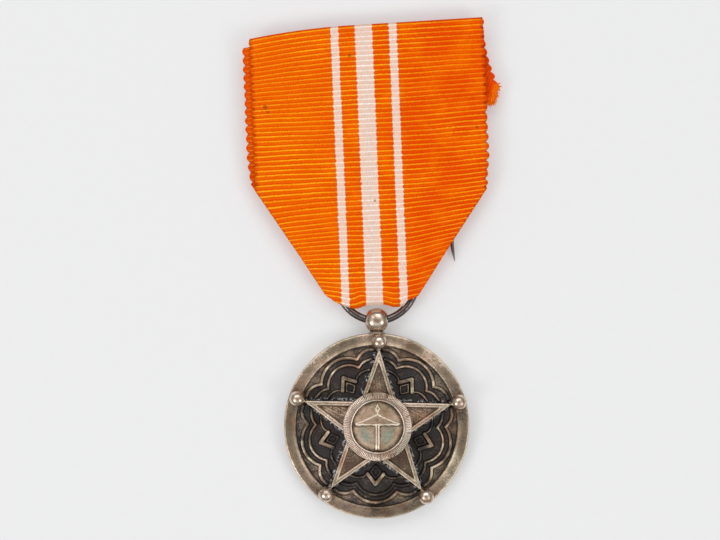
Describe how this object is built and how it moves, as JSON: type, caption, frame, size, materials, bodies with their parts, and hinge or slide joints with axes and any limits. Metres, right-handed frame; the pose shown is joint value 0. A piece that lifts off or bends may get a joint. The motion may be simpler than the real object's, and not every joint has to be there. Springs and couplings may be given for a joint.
{
  "type": "military service medal",
  "caption": "Round medal with an applied star, centre medallion and ball studs, hung by a ring from a striped folded ribbon that has a pin brooch sewn behind it.",
  "frame": {"origin": "centre of the disc's flat back", "axes": "+Z out of the medal's face, +Y from the disc towards the ribbon, +X to the right of the face"},
  "size_m": [0.0415, 0.0811, 0.0044],
  "materials": {
    "patinated_brass": "silvered, worn and tarnished to a dark brown",
    "worn_brass": "silvered, rubbed bright on its edges",
    "polished_metal": "polished",
    "ring_wire": "smooth, slightly dulled",
    "brooch_steel": "plain",
    "ribbon_cloth": "ribbed orange weave with three pale stripes",
    "thread": "twisted sewing thread"
  },
  "bodies": {
    "ribbon": {"ribbon": "ribbon_cloth", "brooch_bar": "brooch_steel", "catch_hook": "brooch_steel", "pin_rivet": "brooch_steel", "sewing_stitch_1": "thread", "sewing_stitch_2": "thread", "sewing_stitch_3": "thread", "sewing_stitch_4": "thread"},
    "ring": {"suspension_ring": "ring_wire"},
    "medal": {"medal_disc": "patinated_brass", "star": "worn_brass", "medallion_collar": "worn_brass", "medallion_plate": "worn_brass", "ball_stud_top": "polished_metal", "ball_stud_upper_left": "polished_metal", "ball_stud_lower_left": "polished_metal", "ball_stud_lower_right": "polished_metal", "ball_stud_upper_right": "polished_metal", "suspension_ball": "polished_metal", "suspension_foot": "worn_brass"},
    "pin": {"brooch_pin": "brooch_steel"}
  },
  "joints": [
    {"name": "ring_turn", "type": "hinge", "parent": "ribbon", "child": "ring", "pos_m": [0, 0.0234, 0.00215], "axis": [0, 0, 1], "range_deg": [-15, 15]},
    {"name": "medal_swing", "type": "hinge", "parent": "ring", "child": "medal", "pos_m": [0, 0.0171, 0.00215], "axis": [1, 0, 0], "range_deg": [-112, 108]},
    {"name": "pin_turn", "type": "hinge", "parent": "ribbon", "child": "pin", "pos_m": [0.01285, 0.0579, 0.0007], "axis": [0, 0, 1], "range_deg": [-87, 266]}
  ]
}
